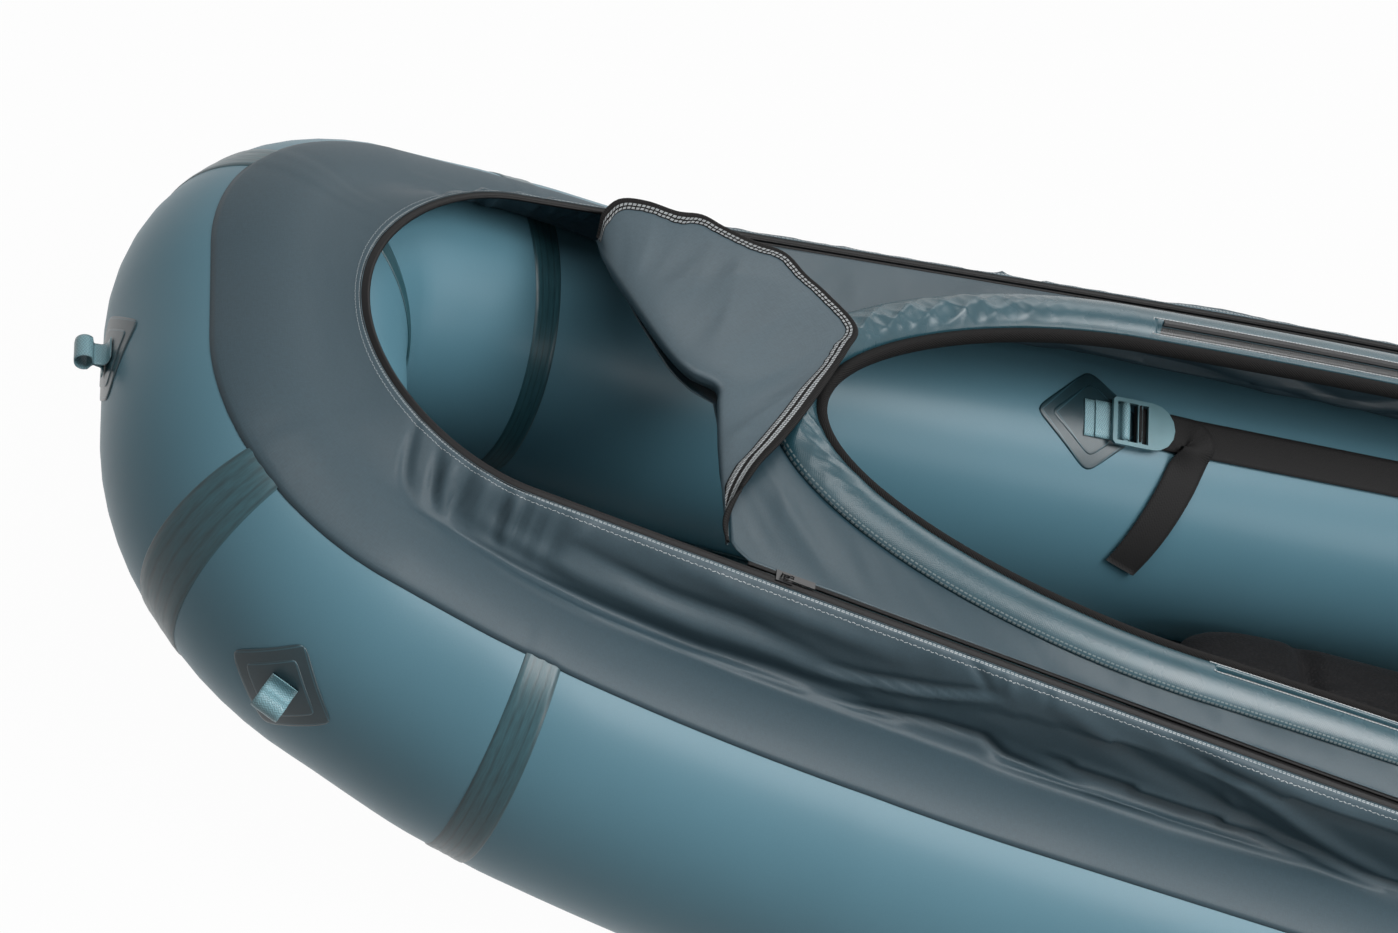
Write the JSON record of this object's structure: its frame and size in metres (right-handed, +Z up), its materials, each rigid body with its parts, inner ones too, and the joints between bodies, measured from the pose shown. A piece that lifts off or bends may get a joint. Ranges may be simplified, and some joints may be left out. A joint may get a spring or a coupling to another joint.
{
  "type": "packraft",
  "caption": "Decked one-person inflatable boat: welded tube with upturned ends, zipped deck turned back at the bow, cockpit coaming, thigh straps, seat and backrest.",
  "frame": {"origin": "On the ground under the middle of the boat, midway between the tips of the bow and stern loops", "axes": "+X toward the bow, +Y to port, +Z up"},
  "size_m": [2.4982, 0.967, 0.4121],
  "materials": {
    "tube_stern": "satin coated cloth, airtight",
    "tube_stern_port": "satin coated cloth, airtight",
    "tube_aft_port": "satin coated cloth, airtight",
    "tube_fore_port": "satin coated cloth, airtight",
    "tube_bow_port": "satin coated cloth, airtight",
    "tube_bow": "satin coated cloth, airtight",
    "tube_bow_starboard": "satin coated cloth, airtight",
    "tube_fore_starboard": "satin coated cloth, airtight",
    "tube_aft_starboard": "satin coated cloth, airtight",
    "tube_stern_starboard": "satin coated cloth, airtight",
    "seam_tape_stern_port": "glossy welded tape",
    "seam_tape_stern_starboard": "glossy welded tape",
    "seam_tape_aft_port": "glossy welded tape",
    "seam_tape_aft_starboard": "glossy welded tape",
    "seam_tape_fore_port": "glossy welded tape",
    "seam_tape_fore_starboard": "glossy welded tape",
    "seam_tape_bow_port": "glossy welded tape",
    "seam_tape_bow_starboard": "glossy welded tape",
    "floor_sheet": "heavy coated cloth, satin",
    "floor_tape": "glossy welded tape",
    "deck_skirt_port": "fine woven coated cloth, matt",
    "deck_skirt_bow": "fine woven coated cloth, matt",
    "deck_skirt_starboard": "fine woven coated cloth, matt",
    "deck_skirt_stern": "fine woven coated cloth, matt",
    "deck_panel": "fine woven coated cloth, matt",
    "deck_flap": "fine woven coated cloth, matt",
    "zip_outer_chain": "black zip tape and teeth",
    "zip_inner_chain": "black zip tape and teeth",
    "flap_zip_chain": "black zip tape and teeth",
    "cockpit_rim": "black ribbed binding",
    "coaming_sleeve": "ripstop cloth, slight gloss",
    "coaming_rod_port": "black stiffener rod",
    "coaming_rod_starboard": "black stiffener rod",
    "grab_patch_bow": "glossy welded patch",
    "grab_patch_bow_port": "glossy welded patch",
    "grab_patch_bow_starboard": "glossy welded patch",
    "grab_patch_stern": "glossy welded patch",
    "thigh_patch_port": "glossy welded patch",
    "thigh_patch_starboard": "glossy welded patch",
    "grab_loop_bow": "shiny flat webbing",
    "grab_loop_bow_port": "shiny flat webbing",
    "grab_loop_bow_starboard": "shiny flat webbing",
    "grab_loop_stern": "shiny flat webbing",
    "thigh_loop_port": "shiny flat webbing",
    "thigh_loop_starboard": "shiny flat webbing",
    "ladder_lock_port": "moulded, slight sheen",
    "ladder_lock_starboard": "moulded, slight sheen",
    "thigh_strap_port": "black ribbed webbing",
    "thigh_strap_starboard": "black ribbed webbing",
    "seat_cushion": "black woven cloth, inflated",
    "backrest": "black woven cloth, inflated",
    "valve_body": "black moulding",
    "top_up_valve": "black moulding",
    "valve_cap": "black moulding",
    "zip_slider_port": "black moulding",
    "zip_slider_starboard": "black moulding",
    "zip_pull_port": "black moulding",
    "zip_pull_starboard": "black moulding",
    "valve_plunger": "moulded"
  },
  "bodies": {
    "hull": {"tube_stern": "tube_stern", "tube_stern_port": "tube_stern_port", "tube_aft_port": "tube_aft_port", "tube_fore_port": "tube_fore_port", "tube_bow_port": "tube_bow_port", "tube_bow": "tube_bow", "tube_bow_starboard": "tube_bow_starboard", "tube_fore_starboard": "tube_fore_starboard", "tube_aft_starboard": "tube_aft_starboard", "tube_stern_starboard": "tube_stern_starboard", "seam_tape_stern_port": "seam_tape_stern_port", "seam_tape_stern_starboard": "seam_tape_stern_starboard", "seam_tape_aft_port": "seam_tape_aft_port", "seam_tape_aft_starboard": "seam_tape_aft_starboard", "seam_tape_fore_port": "seam_tape_fore_port", "seam_tape_fore_starboard": "seam_tape_fore_starboard", "seam_tape_bow_port": "seam_tape_bow_port", "seam_tape_bow_starboard": "seam_tape_bow_starboard", "floor_sheet": "floor_sheet", "floor_tape": "floor_tape", "deck_skirt_port": "deck_skirt_port", "deck_skirt_bow": "deck_skirt_bow", "deck_skirt_starboard": "deck_skirt_starboard", "deck_skirt_stern": "deck_skirt_stern", "zip_outer_chain": "zip_outer_chain", "zip_inner_chain": "zip_inner_chain", "deck_panel": "deck_panel", "cockpit_rim": "cockpit_rim", "coaming_sleeve": "coaming_sleeve", "coaming_rod_port": "coaming_rod_port", "coaming_rod_starboard": "coaming_rod_starboard", "grab_patch_bow": "grab_patch_bow", "grab_patch_bow_port": "grab_patch_bow_port", "grab_patch_bow_starboard": "grab_patch_bow_starboard", "grab_patch_stern": "grab_patch_stern", "grab_loop_bow": "grab_loop_bow", "grab_loop_bow_port": "grab_loop_bow_port", "grab_loop_bow_starboard": "grab_loop_bow_starboard", "grab_loop_stern": "grab_loop_stern", "thigh_patch_port": "thigh_patch_port", "thigh_patch_starboard": "thigh_patch_starboard", "thigh_loop_port": "thigh_loop_port", "thigh_loop_starboard": "thigh_loop_starboard", "ladder_lock_port": "ladder_lock_port", "ladder_lock_starboard": "ladder_lock_starboard", "thigh_strap_port": "thigh_strap_port", "thigh_strap_starboard": "thigh_strap_starboard", "seat_cushion": "seat_cushion", "valve_body": "valve_body", "top_up_valve": "top_up_valve"},
    "slider_port": {"zip_slider_port": "zip_slider_port"},
    "slider_starboard": {"zip_slider_starboard": "zip_slider_starboard"},
    "pull_port": {"zip_pull_port": "zip_pull_port"},
    "pull_starboard": {"zip_pull_starboard": "zip_pull_starboard"},
    "front_flap": {"deck_flap": "deck_flap", "flap_zip_chain": "flap_zip_chain"},
    "backrest": {"backrest": "backrest"},
    "valve_cap": {"valve_cap": "valve_cap"},
    "valve_plunger": {"valve_plunger": "valve_plunger"}
  },
  "joints": [
    {"name": "zip_slide_port", "type": "slide", "parent": "hull", "child": "slider_port", "axis": [-0.9889, 0.1483, 0], "range_m": [0, 0.28]},
    {"name": "zip_slide_starboard", "type": "slide", "parent": "hull", "child": "slider_starboard", "axis": [-0.9889, -0.1483, 0], "range_m": [0, 0.28]},
    {"name": "pull_tab_port", "type": "hinge", "parent": "slider_port", "child": "pull_port", "pos_m": [0.67244, 0.20963, 0.3818], "axis": [0.1483, 0.9889, 0], "range_deg": [0, 90]},
    {"name": "pull_tab_starboard", "type": "hinge", "parent": "slider_starboard", "child": "pull_starboard", "pos_m": [0.78044, -0.19343, 0.3818], "axis": [-0.1483, 0.9889, 0], "range_deg": [0, 90]},
    {"name": "front_flap_fold", "type": "hinge", "parent": "hull", "child": "front_flap", "pos_m": [0.766, 0.0081, 0.378], "axis": [-0.2661, 0.9639, 0], "range_deg": [0, 130]},
    {"name": "backrest_lean", "type": "hinge", "parent": "hull", "child": "backrest", "pos_m": [-0.345, 0, 0.03226], "axis": [0, 1, 0], "range_deg": [-3, 20]},
    {"name": "valve_cap_turn", "type": "hinge", "parent": "hull", "child": "valve_cap", "pos_m": [-0.63511, 0.43443, 0.22598], "axis": [-0.1024, 0.8026, 0.5876], "range_deg": [0, 360]},
    {"name": "valve_plunger_press", "type": "slide", "parent": "hull", "child": "valve_plunger", "axis": [0.1024, -0.8026, -0.5876], "range_m": [0, 0.004], "stiffness_N_per_m": 150}
  ]
}
